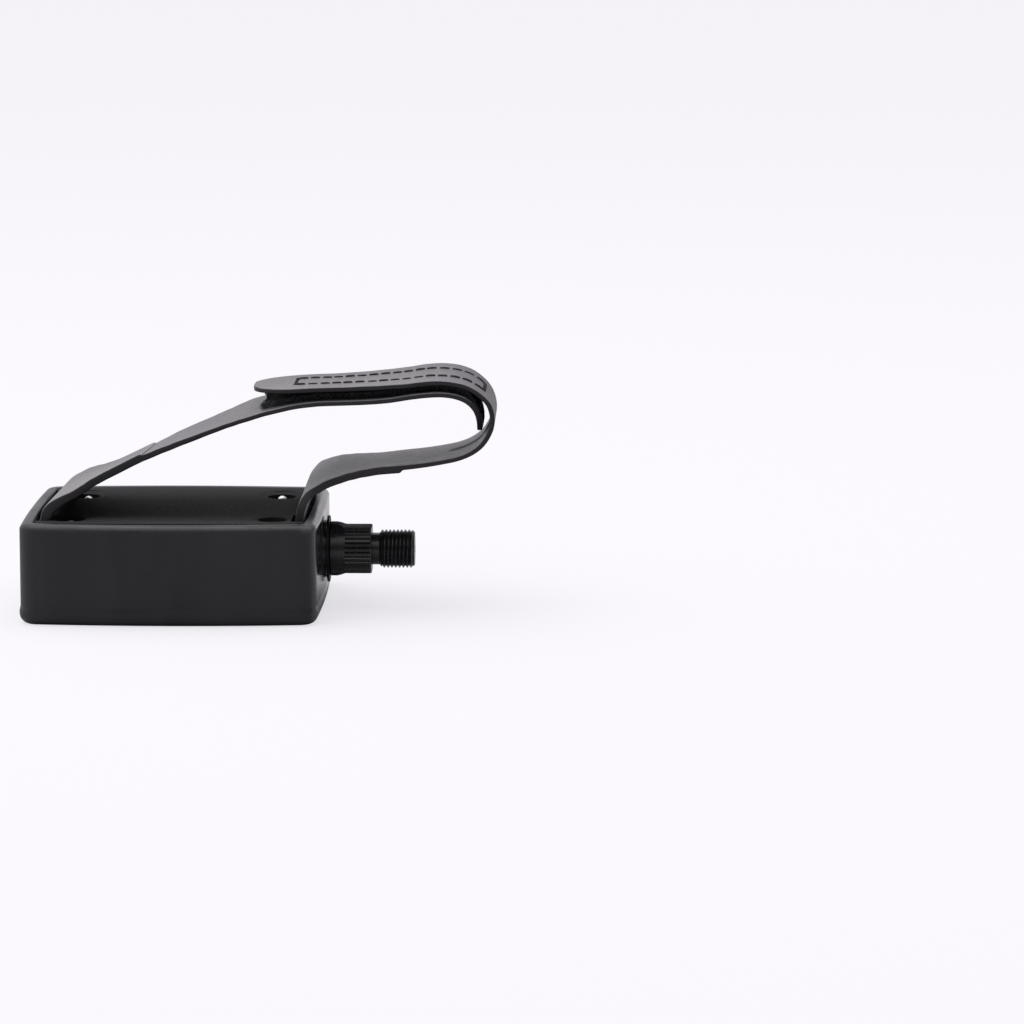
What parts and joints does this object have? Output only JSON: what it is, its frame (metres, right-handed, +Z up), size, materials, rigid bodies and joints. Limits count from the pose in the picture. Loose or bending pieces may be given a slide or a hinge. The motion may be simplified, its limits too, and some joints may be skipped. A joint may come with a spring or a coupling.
{
  "type": "exercise bike pedal with straps",
  "caption": "Boxy platform pedal with a dished tread, a ball-bearing spindle with wrench flats and a two-part hook-and-loop foot strap.",
  "frame": {"origin": "middle of the flat underside that rests on the floor, below the middle of the tread", "axes": "+X along the spindle towards the crank, +Y across the tread, +Z up out of the tread"},
  "size_m": [0.155, 0.0908, 0.078],
  "materials": {
    "shell_plastic": "moulded, fine satin grain",
    "tread_plastic": "moulded, satin",
    "screw_steel": "zinc plated",
    "black_steel": "glossy black plating",
    "seal_plastic": "smooth",
    "bearing_steel": "ground",
    "ball_steel": "polished",
    "strap_vinyl": "moulded vinyl, soft sheen",
    "loop_pile": "looped nylon pile",
    "hook_tape": "hooked nylon tape"
  },
  "bodies": {
    "pedal": {"body_shell": "shell_plastic", "tread_plate": "tread_plastic", "deck_screws": "screw_steel", "inboard_cup": "bearing_steel", "outboard_cup": "bearing_steel", "end_cap": "shell_plastic", "outer_strap": "strap_vinyl", "inner_strap": "strap_vinyl", "loop_patch": "loop_pile", "hook_patch": "hook_tape"},
    "spindle": {"spindle": "black_steel", "dust_seal": "seal_plastic", "adjusting_cone": "bearing_steel", "lock_washer": "bearing_steel", "lock_nut": "bearing_steel"},
    "inboard_balls": {"inboard_balls": "ball_steel"},
    "outboard_balls": {"outboard_balls": "ball_steel"}
  },
  "joints": [
    {"name": "spindle_spin", "type": "hinge", "parent": "pedal", "child": "spindle", "pos_m": [0, 0, 0.01865], "axis": [1, 0, 0], "continuous": true},
    {"name": "inboard_ball_orbit", "type": "hinge", "parent": "pedal", "child": "inboard_balls", "pos_m": [0.0368, 0, 0.01865], "axis": [1, 0, 0], "continuous": true},
    {"name": "outboard_ball_orbit", "type": "hinge", "parent": "pedal", "child": "outboard_balls", "pos_m": [-0.0288, 0, 0.01865], "axis": [1, 0, 0], "continuous": true}
  ],
  "couplings": [
    {"joint": "inboard_ball_orbit", "follows": "spindle_spin", "ratio": 0.3937},
    {"joint": "outboard_ball_orbit", "follows": "spindle_spin", "ratio": 0.3937}
  ]
}
